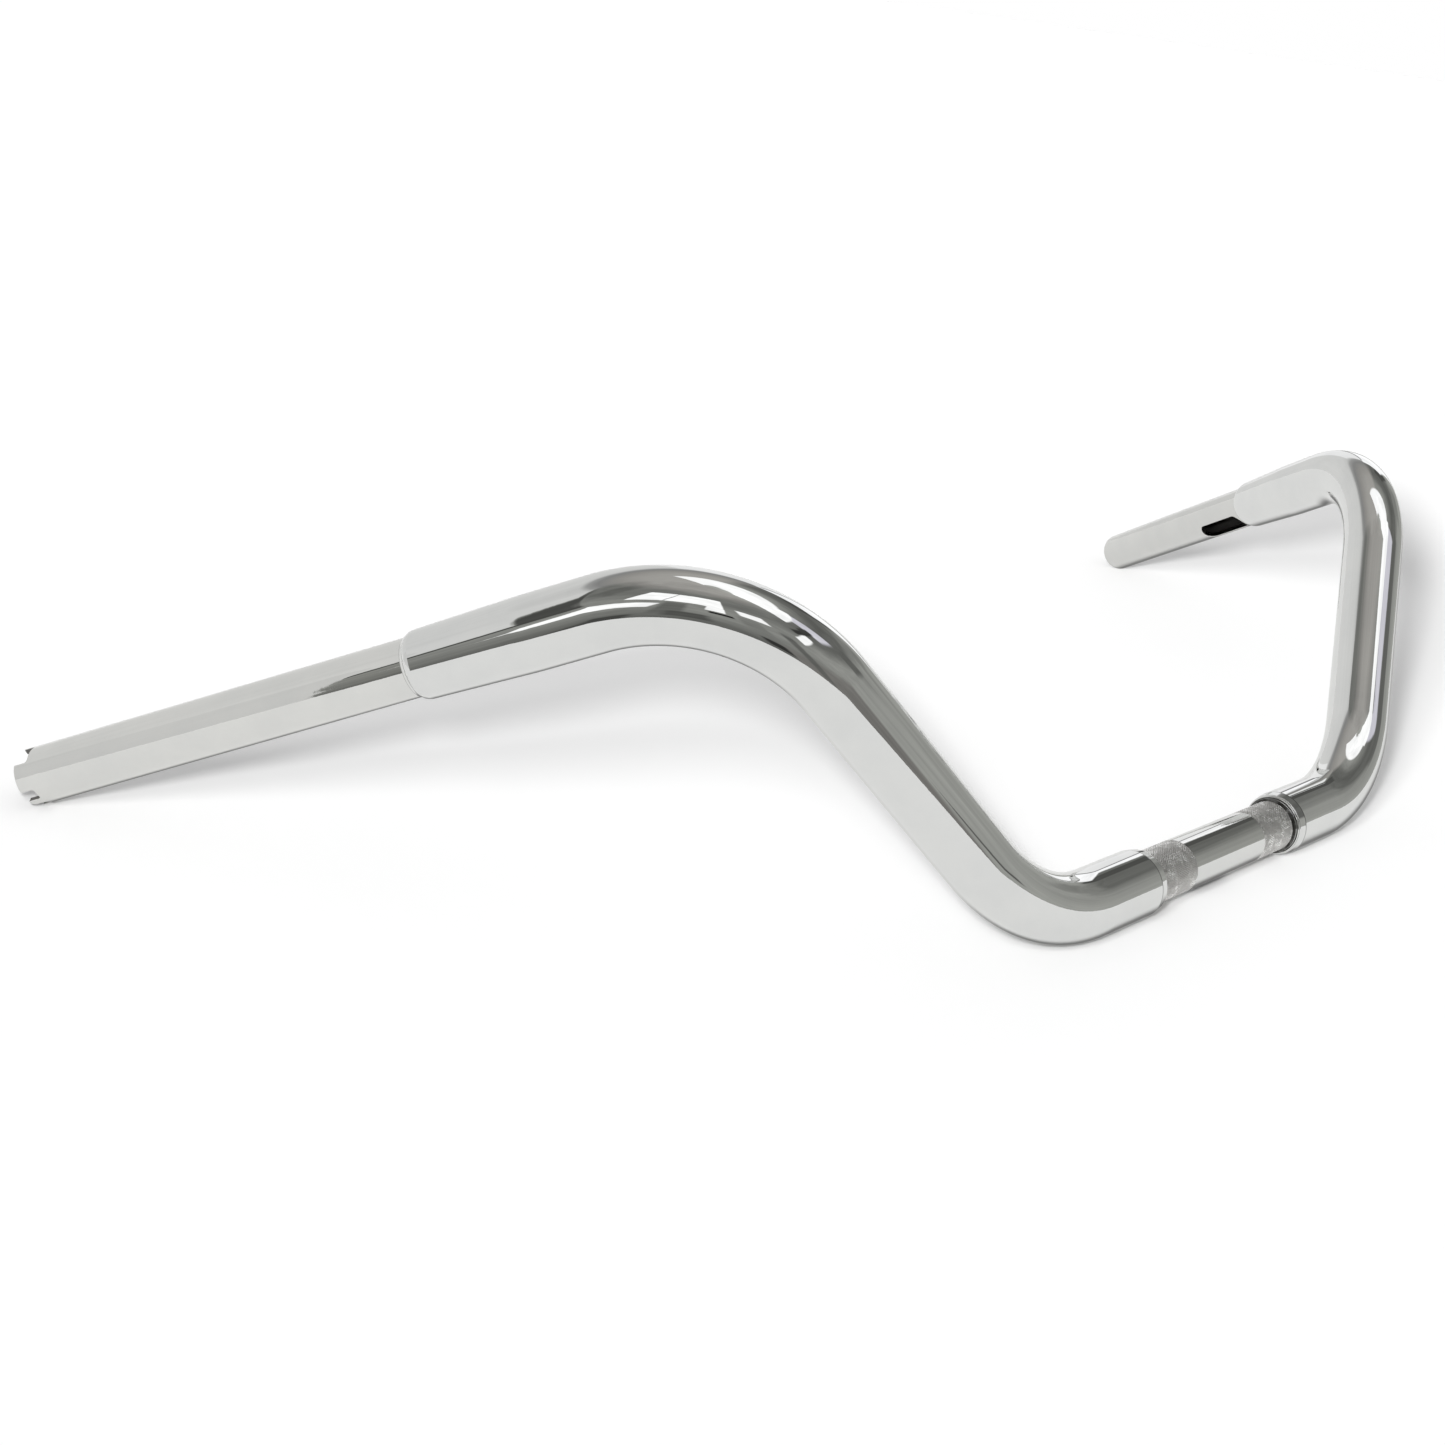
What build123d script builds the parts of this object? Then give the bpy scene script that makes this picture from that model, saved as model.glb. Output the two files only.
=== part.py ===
from build123d import *
import os
from collections import namedtuple
from math import sin, cos, tan, radians, degrees, sqrt, pi, acos

# Motorcycle handlebar: a one-inch clamp section and grips joined by fat uprights.
# Millimetres. Origin: centre of the clamp section, on its axis.
# +X towards the rider's right hand, +Y forward, +Z up with the bar lying on a bench,
# resting on the undersides of both fat tubes and on the rims of both grips.
#
# Parts are built in the riding frame, with the uprights in the XZ plane, and then
# leaned back about the clamp axis. The right side is drawn and the left mirrored.

# ---------------------------------------------------------------- tubes
INCH = 25.4
WALL = 0.12 * INCH              # all tubes
TUBE_R = INCH / 2               # clamp section and grips
TUBE_BORE_R = TUBE_R - WALL
FAT_R = 1.25 * INCH / 2         # uprights
FAT_BORE_R = FAT_R - WALL       # clears the clamp tube by 0.25 on diameter

# ---------------------------------------------------------------- layout
BASE_HALF = 142.5               # origin to the lower corner, along X
UPRIGHT_LEN = 208.8             # lower corner to upper corner
UPRIGHT_SPLAY = 34.8            # upright outward from vertical, degrees
ARM_LEN = 337.6                 # upper corner to the grip end
STEP_AT = 144.6                 # upper corner to the fat-to-thin step
ARM_SPLAY = 28.7                # arm outward from straight back, degrees
ARM_DROP = 1.2                  # arm down from level in the riding frame, degrees
BEND_R = 80.3                   # centreline radius of all four bends

# ---------------------------------------------------------------- fat tube ends
FAT_START = 60.2                # inner end of the fat tube, along X
SHOULDER_END = 65.0             # full diameter from here outwards
SHOULDER_R = 15.2               # radius at the inner end
TAPER_LEN = 48.0                # taper on the grip side
TAPER_R = 14.7                  # radius at its thin end
NOSE_LEN = 4.6                  # end of the taper to the step, weld included
NOSE_R = 13.5                   # radius where the rounded nose meets the weld
NOSE_CUT = 0.06                 # how far short of a quarter ellipse the nose stops
NOSE_CONES = 4

# ---------------------------------------------------------------- joints
INSERT_CLAMP = 34.0             # clamp section inside each fat tube
INSERT_GRIP = 38.0              # grip tube inside its fat tube
SPIGOT_R = 12.5                 # turned-down part of the grip tube, inside the fat tube
WELD_GRIP_LEG = 1.6             # weld length along the grip tube
WELD_GRIP_HOLLOW = 0.25         # how far the weld face sags below a straight line
WELD_CLAMP_LEG = 1.95           # weld length along the clamp section
WELD_CLAMP_UP = 2.05            # weld height up the end of the fat tube
# Beads of the clamp weld: (along, height) at the start, then at the end, as
# fractions of its length and height. The taller bead is against the fat tube.
CLAMP_BEADS = (
    ((0.08, 1.0), (0.49, 0.60)),
    ((0.52, 0.57), (1.0, 0.0)),
)

# ---------------------------------------------------------------- cuts
KNURL_IN = 30.4                 # turned-down knurl bands, distances from the origin
KNURL_OUT = 57.0
KNURL_DEPTH = 0.12

WIRE_SLOT_L = 49.5              # wire entry slot in each grip tube
WIRE_SLOT_W = 12.3
WIRE_SLOT_GAP = 1.8             # step to the near end of the slot
WIRE_SLOT_ANG = 154.0           # from the tube's local top, towards the inside
EXIT_SLOT_L = 32.0              # wire exit slot, underside of the clamp section
EXIT_SLOT_W = 12.0

# Notches in the right (throttle) grip end; angles are degrees around the tube
NOTCH_DEPTH = 6.7
NOTCH_CORNER_R = 1.3
NOTCH_WIDE = 52.0
NOTCH_NARROW = 25.0
TAB_KEY = 19.0                  # tab between the two narrow notches
TAB_SIDE = 59.0                 # tab between a narrow and a wide notch
KEY_ANG = -137.5                # middle of the key tab, from the tube's local top
SENSOR_BORE_R = 10.5            # counterbore in the right grip end
SENSOR_BORE_L = 60.0
END_ROUND = 1.2                 # outer edge rounding of the left grip end

OVERCUT = 2.0                   # how far bores run past an end
CUT_REACH = 18.0                # length of radial cutters from the tube axis

# ---------------------------------------------------------------- centreline, right side
Bend = namedtuple("Bend", "start direction end axis angle")


def bend_at(corner, dir_in, dir_out):
    """The bend of radius BEND_R that rounds the given centreline corner."""
    angle = acos(dir_in.dot(dir_out))
    setback = BEND_R * tan(angle / 2)
    normal = dir_in.cross(dir_out).normalized()
    start = corner - dir_in * setback
    end = corner + dir_out * setback
    centre = start + normal.cross(dir_in) * BEND_R
    return Bend(start, dir_in, end, Axis(centre, normal), degrees(angle))


splay, arm_splay, arm_rise = radians(UPRIGHT_SPLAY), radians(ARM_SPLAY), radians(-ARM_DROP)
ORIGIN = Vector(0, 0, 0)
CLAMP_DIR = Vector(1, 0, 0)
UPRIGHT_DIR = Vector(sin(splay), 0, cos(splay))
ARM_DIR = Vector(
    cos(arm_rise) * sin(arm_splay), -cos(arm_rise) * cos(arm_splay), sin(arm_rise)
)
LOWER_CORNER = CLAMP_DIR * BASE_HALF
UPPER_CORNER = LOWER_CORNER + UPRIGHT_DIR * UPRIGHT_LEN
STEP = UPPER_CORNER + ARM_DIR * STEP_AT
GRIP_END = UPPER_CORNER + ARM_DIR * ARM_LEN
LOWER_BEND = bend_at(LOWER_CORNER, CLAMP_DIR, UPRIGHT_DIR)
UPPER_BEND = bend_at(UPPER_CORNER, UPRIGHT_DIR, ARM_DIR)


def bench_up(lean):
    """The bench's up direction seen in the riding frame; lean in radians."""
    return Vector(0, sin(lean), cos(lean))


def lean_angle():
    """Lean, in radians, that puts fat tube undersides and grip rims at one height."""
    low, high = radians(5), radians(70)
    for _ in range(60):
        middle = (low + high) / 2
        up = bench_up(middle)
        slope = ARM_DIR.dot(up)
        rim_height = GRIP_END.dot(up) - TUBE_R * sqrt(1 - slope * slope) + FAT_R
        if rim_height > 0:
            low = middle
        else:
            high = middle
    return (low + high) / 2


LEAN = lean_angle()


# ---------------------------------------------------------------- shape helpers
def cylinder(start, end, radius):
    plane = Plane(origin=start, z_dir=end - start)
    return Solid.make_cylinder(radius, (end - start).length, plane)


def cone(start, end, start_r, end_r):
    plane = Plane(origin=start, z_dir=end - start)
    return Solid.make_cone(start_r, end_r, (end - start).length, plane)


def bent_rod(bend, radius):
    disc = Plane(origin=bend.start, z_dir=bend.direction) * Circle(radius)
    return revolve(disc, bend.axis, bend.angle)


def rod_pieces(start, end, radius):
    """Rod along the centreline from the clamp axis to the arm, as separate pieces."""
    return [
        cylinder(start, LOWER_BEND.start, radius),
        bent_rod(LOWER_BEND, radius),
        cylinder(LOWER_BEND.end, UPPER_BEND.start, radius),
        bent_rod(UPPER_BEND, radius),
        cylinder(UPPER_BEND.end, end, radius),
    ]


def fused(pieces):
    """Join pieces one after another, in order."""
    body = pieces[0]
    for piece in pieces[1:]:
        body = body + piece
    return body


def ring(origin, direction, points):
    """Revolve a closed outline of (distance along, radius) points about a tube axis."""
    plane = Plane(origin=origin, x_dir=direction, z_dir=direction.cross(Vector(0, 0, 1)))
    face = plane * make_face(Polyline(*points, close=True))
    return revolve(face, Axis(origin, direction), 360)


def radial_cutter(point, direction, angle, outline):
    """Extrude an outline outwards from a tube axis, angle degrees from its local top.

    The outline's x runs along the tube. Positive angles on the right arm turn inwards.
    """
    up = bench_up(LEAN)
    top = (up - direction * up.dot(direction)).normalized()
    side = direction.cross(top)
    outwards = top * cos(radians(angle)) + side * sin(radians(angle))
    return extrude(Plane(origin=point, x_dir=direction, z_dir=outwards) * outline, CUT_REACH)


# ---------------------------------------------------------------- parts, right side
def fat_tube():
    inner_end = CLAMP_DIR * FAT_START
    shoulder_end = CLAMP_DIR * SHOULDER_END
    taper_start = STEP - ARM_DIR * (NOSE_LEN + TAPER_LEN)
    taper_end = STEP - ARM_DIR * NOSE_LEN

    pieces = [cone(inner_end, shoulder_end, SHOULDER_R, FAT_R)]
    pieces += rod_pieces(shoulder_end, taper_start, FAT_R)
    pieces.append(cone(taper_start, taper_end, FAT_R, TAPER_R))

    # Rounded nose: short cones that follow part of an ellipse, up to the weld
    stations = []
    for k in range(NOSE_CONES + 1):
        u = k / NOSE_CONES
        swell = sqrt(1 - (1 - NOSE_CUT) * u * u) - sqrt(NOSE_CUT) * u
        point = taper_end + ARM_DIR * ((NOSE_LEN - WELD_GRIP_LEG) * u)
        stations.append((point, NOSE_R + (TAPER_R - NOSE_R) * swell))
    for (start, start_r), (end, end_r) in zip(stations, stations[1:]):
        pieces.append(cone(start, end, start_r, end_r))

    bore_start = inner_end - CLAMP_DIR * OVERCUT
    bore_end = STEP + ARM_DIR * OVERCUT
    return fused(pieces) - fused(rod_pieces(bore_start, bore_end, FAT_BORE_R))


def weld_clamp():
    points = [(FAT_START, TUBE_R), (FAT_START, TUBE_R + WELD_CLAMP_UP)]
    for (along_0, height_0), (along_1, height_1) in CLAMP_BEADS:
        for k in range(5):
            turn = pi / 2 * k / 4
            along = along_0 + (along_1 - along_0) * sin(turn)
            height = height_1 + (height_0 - height_1) * cos(turn)
            points.append((FAT_START - WELD_CLAMP_LEG * along, TUBE_R + WELD_CLAMP_UP * height))
    return ring(ORIGIN, CLAMP_DIR, points)


def weld_grip():
    """Weld from the nose down to the grip tube, filled in to the spigot."""
    points = [(-WELD_GRIP_LEG, SPIGOT_R)]
    for k in range(5):
        u = k / 4
        height = (NOSE_R - TUBE_R) * (1 - u) * (1 - WELD_GRIP_HOLLOW * u)
        points.append((WELD_GRIP_LEG * (u - 1), TUBE_R + height))
    points.append((0, SPIGOT_R))
    return ring(STEP, ARM_DIR, points)


def plain_grip():
    """Grip tube with its spigot, bore and wire slot, before the end is worked."""
    spigot_end = STEP - ARM_DIR * INSERT_GRIP
    tube = cylinder(spigot_end, STEP, SPIGOT_R) + cylinder(STEP, GRIP_END, TUBE_R)
    tube -= cylinder(
        spigot_end - ARM_DIR * OVERCUT, GRIP_END + ARM_DIR * OVERCUT, TUBE_BORE_R
    )
    slot_centre = STEP + ARM_DIR * (WIRE_SLOT_GAP + WIRE_SLOT_L / 2)
    slot = SlotOverall(WIRE_SLOT_L, WIRE_SLOT_W)
    return tube - radial_cutter(slot_centre, ARM_DIR, WIRE_SLOT_ANG, slot)


def notched_grip():
    """Grip tube with a counterbore and four end notches."""
    tube = plain_grip()
    tube -= cylinder(
        GRIP_END - ARM_DIR * SENSOR_BORE_L, GRIP_END + ARM_DIR * OVERCUT, SENSOR_BORE_R
    )
    narrow_at = TAB_KEY / 2 + NOTCH_NARROW / 2
    wide_at = TAB_KEY / 2 + NOTCH_NARROW + TAB_SIDE + NOTCH_WIDE / 2
    for side in (1, -1):
        for offset, span in ((narrow_at, NOTCH_NARROW), (wide_at, NOTCH_WIDE)):
            width = 2 * TUBE_R * sin(radians(span / 2))
            outline = RectangleRounded(2 * NOTCH_DEPTH, width, NOTCH_CORNER_R)
            tube -= radial_cutter(GRIP_END, ARM_DIR, KEY_ANG + side * offset, outline)
    return tube


def rounded_grip():
    """Grip tube with a rounded outer end edge."""
    tube = plain_grip()
    rim = [
        edge
        for edge in tube.edges().filter_by(GeomType.CIRCLE)
        if (edge.arc_center - GRIP_END).length < 0.01 and abs(edge.radius - TUBE_R) < 0.01
    ]
    return fillet(rim, END_ROUND)


# ---------------------------------------------------------------- clamp section
def clamp_tube():
    end = CLAMP_DIR * (FAT_START + INSERT_CLAMP)
    past_end = end + CLAMP_DIR * OVERCUT
    tube = cylinder(-end, end, TUBE_R)
    tube -= cylinder(-past_end, past_end, TUBE_BORE_R)
    for side in (1, -1):
        outwards = CLAMP_DIR * side
        band = cylinder(outwards * KNURL_IN, outwards * KNURL_OUT, TUBE_R + 2)
        band -= cylinder(
            outwards * (KNURL_IN - 1), outwards * (KNURL_OUT + 1), TUBE_R - KNURL_DEPTH
        )
        tube -= band
    # Straight down once the bar is leaned back
    slot = SlotOverall(EXIT_SLOT_L, EXIT_SLOT_W)
    return tube - radial_cutter(ORIGIN, CLAMP_DIR, 180, slot)


# ---------------------------------------------------------------- assemble and write
nodes = {"clamp_section": clamp_tube()}
for name, shape in (
    ("riser_tube", fat_tube()),
    ("weld_clamp", weld_clamp()),
    ("weld_grip", weld_grip()),
):
    nodes[f"{name}_right"] = shape
    nodes[f"{name}_left"] = shape.mirror(Plane.YZ)
nodes["grip_tube_right"] = notched_grip()
nodes["grip_tube_left"] = rounded_grip().mirror(Plane.YZ)

os.makedirs("parts", exist_ok=True)
for name, shape in nodes.items():
    placed = shape.rotate(Axis.X, degrees(LEAN))
    placed.label = name
    export_step(placed, f"parts/{name}.step")
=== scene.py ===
"""A chromed tubular handlebar resting on a white floor.

The clamp section lies along x, centred on the origin. Fat uprights bend up from its ends and
splay outward; the arms then run outward and toward -y, stepping down to thinner grip tubes
whose ends touch the floor. The right half is at +x. Shapes are worked out in millimetres and
built in metres, +Z up.
"""
from collections import namedtuple
from math import acos, asin, cos, degrees, pi, radians, sin, sqrt, tan

import bpy
import numpy as np
from mathutils import Matrix, Vector


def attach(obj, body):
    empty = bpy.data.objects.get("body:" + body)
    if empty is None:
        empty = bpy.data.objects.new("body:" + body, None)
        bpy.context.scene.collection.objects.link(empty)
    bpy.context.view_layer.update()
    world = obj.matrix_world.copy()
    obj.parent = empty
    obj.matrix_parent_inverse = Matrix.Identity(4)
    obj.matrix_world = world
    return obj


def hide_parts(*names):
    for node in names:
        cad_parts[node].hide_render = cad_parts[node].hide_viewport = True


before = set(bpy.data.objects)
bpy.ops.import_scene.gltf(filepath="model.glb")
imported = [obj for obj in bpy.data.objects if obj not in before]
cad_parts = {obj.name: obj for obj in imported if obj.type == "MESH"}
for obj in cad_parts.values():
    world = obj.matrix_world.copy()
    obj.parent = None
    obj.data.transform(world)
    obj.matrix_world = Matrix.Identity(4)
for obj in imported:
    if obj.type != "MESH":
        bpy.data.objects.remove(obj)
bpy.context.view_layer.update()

# ---- Dimensions, millimetres ----
MM = 0.001                              # metres in a millimetre
TUBE_R, BORE_R = 12.7, 9.652            # clamp section and grips
FAT_R, FAT_BORE_R = 15.875, 12.827      # uprights
BASE_HALF = 142.5                       # middle to lower corner
UPRIGHT_LEN = 208.8                     # lower corner to upper corner
ARM_LEN = 337.6                         # upper corner to grip end
STEP_AT = 144.6                         # upper corner to the start of the grip tube
GRIP_LEN = ARM_LEN - STEP_AT
UPRIGHT_SPLAY, ARM_SPLAY, ARM_DROP = radians(34.8), radians(28.7), radians(1.2)
BEND_R = 80.3

FAT_START, SHOULDER_START, SHOULDER_R = 60.2, 65.0, 15.2    # inner end of the fat tube
TAPER_LEN, TAPER_R, ROUND_LEN, NOSE_R = 48.0, 14.7, 4.6, 13.5   # its outer end
NOSE_FLATTEN = 0.94                     # share of a quarter ellipse the nose follows
INSERT_CLAMP, INSERT_GRIP, SPIGOT_R = 34.0, 38.0, 12.5      # parts inside the fat tube
WELD_GRIP_LEG, WELD_CLAMP_LEG, WELD_CLAMP_UP = 1.6, 1.95, 2.05

KNURL_IN, KNURL_OUT = 30.4, 57.0        # ends of the band, from the middle
KNURL_COUNT, KNURL_LEAD = 66, 1.9       # grooves round the tube, advance per groove
KNURL_DEPTH, KNURL_FADE = 0.26, 0.55
KNURL_CREST = 0.62                      # share of a groove's rise before the flat crest

SLOT_L, SLOT_W, SLOT_GAP, SLOT_ANGLE = 49.5, 12.3, 1.8, 154.0
EXIT_L, EXIT_W = 32.0, 12.0             # slot under the clamp section
SLOT_WINDOW = radians(44.0)             # half width of the patch remeshed round a slot

# Notched grip end; widths are in degrees round the tube
NOTCH_DEPTH, NOTCH_WIDE, NOTCH_NARROW = 6.7, 52.0, 25.0
TAB_KEY, TAB_SIDE, KEY_ANGLE = 19.0, 59.0, -137.5
NOTCH_FILLET, TAB_ROUND, EDGE_STEP = 1.3, 0.55, 0.55
RING_PULL = 0.9                         # how far tab columns draw in from the notch walls
SENSOR_R, SENSOR_L = 10.5, 60.0         # widened bore
SKIRT_LEN = 11.0                        # end length meshed to the notched edge
END_ROUND = 1.2

PLATE = 0                               # material slot of the outer skin on every piece
GRIP_BORE, GRIP_CUT = 1, 2
CLAMP_KNURL, CLAMP_BORE = 1, 2


# ---- Layout of the right half ----
def unit(vector):
    vector = np.asarray(vector, float)
    return vector / np.linalg.norm(vector, axis=-1, keepdims=True)


# Before the bar leans: uprights stand in the xz plane
FLAT_UPRIGHT = np.array([sin(UPRIGHT_SPLAY), 0, cos(UPRIGHT_SPLAY)])
FLAT_ARM = np.array([cos(ARM_DROP) * sin(ARM_SPLAY), -cos(ARM_DROP) * cos(ARM_SPLAY),
                     -sin(ARM_DROP)])
FLAT_LOWER = np.array([BASE_HALF, 0.0, 0.0])
FLAT_UPPER = FLAT_LOWER + FLAT_UPRIGHT * UPRIGHT_LEN
FLAT_END = FLAT_UPPER + FLAT_ARM * ARM_LEN


def lean_angle():
    """Turn about x that brings the grip ends down to the level of the fat tubes' underside."""
    def end_height(lean):
        up = np.array([0, sin(lean), cos(lean)])
        rise = FLAT_ARM @ up
        return FLAT_END @ up - TUBE_R * sqrt(1 - rise * rise) + FAT_R
    low, high = radians(5), radians(70)
    for _ in range(60):
        middle = (low + high) / 2
        if end_height(middle) > 0:
            low = middle
        else:
            high = middle
    return (low + high) / 2


LEAN = lean_angle()


def leaned(vector):
    x, y, z = vector
    return np.array([x, y * cos(LEAN) - z * sin(LEAN), y * sin(LEAN) + z * cos(LEAN)])


ALONG_X = np.array([1.0, 0, 0])
UPRIGHT_DIR, ARM_DIR = leaned(FLAT_UPRIGHT), leaned(FLAT_ARM)
LOWER, UPPER = leaned(FLAT_LOWER), leaned(FLAT_UPPER)
STEP = UPPER + ARM_DIR * STEP_AT

Bend = namedtuple("Bend", "start end centre axis turn entry")


def bend(corner, before, after):
    turn = acos(before @ after)
    reach = BEND_R * tan(turn / 2)
    start = corner - before * reach
    axis = unit(np.cross(before, after))
    centre = start + np.cross(axis, before) * BEND_R
    return Bend(start, corner + after * reach, centre, axis, turn, before)


LOWER_BEND = bend(LOWER, ALONG_X, UPRIGHT_DIR)
UPPER_BEND = bend(UPPER, UPRIGHT_DIR, ARM_DIR)

# Lengths along the centreline from the middle of the bar
LOWER_IN = LOWER_BEND.start[0]
LOWER_OUT = LOWER_IN + BEND_R * LOWER_BEND.turn
UPPER_IN = LOWER_OUT + np.linalg.norm(UPPER_BEND.start - LOWER_BEND.end)
UPPER_OUT = UPPER_IN + BEND_R * UPPER_BEND.turn
STEP_LEN = UPPER_OUT + np.linalg.norm(STEP - UPPER_BEND.end)


def turned(vector, axis, angles):
    angles = angles[:, None]
    return (vector * np.cos(angles) + np.cross(axis, vector) * np.sin(angles)
            + axis * (axis @ vector) * (1 - np.cos(angles)))


def bar_path(s):
    """Centreline points and tangents of the right half at lengths s from the middle."""
    points, tangents = np.zeros((len(s), 3)), np.zeros((len(s), 3))
    for low, high, start, direction in ((0.0, LOWER_IN, np.zeros(3), ALONG_X),
                                        (LOWER_OUT, UPPER_IN, LOWER_BEND.end, UPRIGHT_DIR),
                                        (UPPER_OUT, np.inf, UPPER_BEND.end, ARM_DIR)):
        here = (s > low) & (s <= high)
        points[here] = start + direction * (s[here] - low)[:, None]
        tangents[here] = direction
    for low, high, arc in ((LOWER_IN, LOWER_OUT, LOWER_BEND), (UPPER_IN, UPPER_OUT, UPPER_BEND)):
        here = (s > low) & (s <= high)
        angles = (s[here] - low) / BEND_R
        points[here] = arc.centre + turned(arc.start - arc.centre, arc.axis, angles)
        tangents[here] = turned(arc.entry, arc.axis, angles)
    return points, tangents


def straight_path(start, direction):
    def path(s):
        return start + direction * s[:, None], np.repeat(direction[None], len(s), 0)
    return path


clamp_path = straight_path(np.zeros(3), ALONG_X)
grip_path = straight_path(STEP, ARM_DIR)       # s runs from the step


# ---- Mesh building ----
def add_object(name, data):
    made = bpy.data.objects.new(name, data)
    bpy.context.scene.collection.objects.link(made)
    return made


class Sheets:
    """Quad sheets with exact normals laid round a centreline and welded into one mesh.

    s is the length along the centreline, phi the angle round it from its upper side.
    """

    def __init__(self, path):
        self.path, self.parts, self.count = path, [], 0

    def add(self, points, normals, uvs, material=PLATE, window=None):
        """Add a grid; window (first row, end row, first column, end column) is left open."""
        rows, columns = points.shape[:2]
        i, j = np.meshgrid(np.arange(rows - 1), np.arange(columns - 1), indexing="ij")
        if window is not None:
            i0, i1, j0, j1 = window
            kept = ~((i >= i0) & (i < i1) & (j >= j0) & (j < j1))
            i, j = i[kept], j[kept]
        first = (i * columns + j).ravel() + self.count
        faces = np.stack([first, first + columns, first + columns + 1, first + 1], 1)
        self.parts.append((points.reshape(-1, 3), normals.reshape(-1, 3), uvs.reshape(-1, 2),
                           faces, np.full(len(first), material)))
        self.count += rows * columns

    def place(self, s, phi, radius):
        """Points, with the directions outward, round the tube and along it."""
        s, phi, radius = np.broadcast_arrays(s, phi, radius)
        centres, tangents = self.path(s.ravel())
        vertical = np.array([0, 0, 1.0])
        upper = unit(vertical - tangents * (tangents @ vertical)[:, None])
        side = np.cross(tangents, upper)
        angle = phi.ravel()[:, None]
        radial = upper * np.cos(angle) + side * np.sin(angle)
        around = side * np.cos(angle) - upper * np.sin(angle)
        points = centres + radial * radius.ravel()[:, None]
        return (part.reshape(s.shape + (3,)) for part in (points, radial, around, tangents))

    def turn(self, rows, angles, material=PLATE, window=None, bump=None):
        """Turned surface; rows are (s, radius, normal along, normal outward)."""
        s, radius, along, outward = (column[:, None] for column in np.asarray(rows, float).T)
        phi = angles[None, :]
        points, radial, _, tangents = self.place(s, phi, radius)
        normals = radial * outward[..., None] + tangents * along[..., None]
        uvs = np.stack(np.broadcast_arrays(s, phi * TUBE_R), -1)
        if bump is not None:
            # Move points along their normals, then take normals from the moved grid
            points = points + normals * bump(s, phi)[..., None]
            wrapped = np.concatenate([points[:, -2:-1], points, points[:, 1:2]], 1)
            moved = np.cross(np.gradient(points, axis=0), wrapped[:, 2:] - wrapped[:, :-2])
            moved /= np.maximum(np.linalg.norm(moved, axis=-1, keepdims=True), 1e-12)
            normals = moved * np.sign((moved * normals).sum(-1, keepdims=True))
        self.add(points, normals, uvs, material, window)

    def loft(self, start, end, steps, radius, side, material):
        """Surface on one radius between two (s, phi) lines; side is 1 outside, -1 inside."""
        share = steps[:, None]
        s, phi = (near + (far - near) * share for near, far in zip(start, end))
        points, radial, _, _ = self.place(s, phi, radius)
        self.add(points, radial * side, np.stack([s, phi * TUBE_R], -1), material)

    def rim(self, row_at, into_at, inner_r, bevel, wall_material):
        """Rounded edge and cut wall of an opening, from the outer skin in to inner_r.

        row_at(inset, radius) gives the edge's s and phi, and into_at(around, along) the
        direction into the metal.
        """
        quarter = [pi / 2 * k / 6 for k in range(7)]
        top = TUBE_R - bevel
        rounded = [(bevel * (1 - sin(q)), TUBE_R - bevel * (1 - cos(q)), q) for q in quarter]
        wall = [(0.0, top + (inner_r - top) * k / 4, pi / 2) for k in range(5)]
        for steps, material, unrolled in ((rounded, PLATE, 0), (wall, wall_material, 1)):
            points, normals, uvs = [], [], []
            for inset, radius, tilt in steps:
                s, phi = row_at(inset, radius)
                row, radial, around, along = self.place(s, phi, radius)
                points.append(row)
                normals.append(unit(radial * cos(tilt) - into_at(around, along) * sin(tilt)))
                uvs.append(np.stack([s, phi * TUBE_R + unrolled * (TUBE_R - radius)], -1))
            self.add(np.array(points), np.array(normals), np.array(uvs), material)

    def build(self, name, materials, mirrored):
        points, normals, uvs, quads, indices = (np.concatenate(p) for p in zip(*self.parts))
        if mirrored:
            points, normals = points * [-1, 1, 1], normals * [-1, 1, 1]
        # Face directions follow the given normals
        a, b, c, d = (points[quads[:, k]] for k in range(4))
        wrong = (np.cross(c - a, d - b) * normals[quads].sum(1)).sum(1) < 0
        quads[wrong] = quads[wrong][:, ::-1]
        # Weld points that share a 0.0002 mm cell and drop faces that collapse
        cells = np.round(points / 2e-4).astype(np.int64)
        _, first, welded = np.unique(cells, axis=0, return_index=True, return_inverse=True)
        faces, corners, face_materials = [], [], []
        for joined, quad, index in zip(welded.ravel()[quads].tolist(), quads.tolist(),
                                       indices.tolist()):
            kept = [k for k in range(4) if joined[k] != joined[k - 1]]
            if len(kept) < 3 or len({joined[k] for k in kept}) < len(kept):
                continue
            faces.append([joined[k] for k in kept])
            corners += [quad[k] for k in kept]
            face_materials.append(index)
        mesh = bpy.data.meshes.new(name)
        mesh.from_pydata((points[first] * MM).tolist(), [], faces)
        mesh.polygons.foreach_set("material_index", face_materials)
        mesh.polygons.foreach_set("use_smooth", [True] * len(faces))
        layer = mesh.uv_layers.new(name="tube")
        layer.data.foreach_set("uv", (uvs[corners] * MM).ravel())
        for material in materials:
            mesh.materials.append(material)
        mesh.update()
        mesh.normals_split_custom_set(unit(normals[corners]).tolist())
        return add_object(name, mesh)


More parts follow.
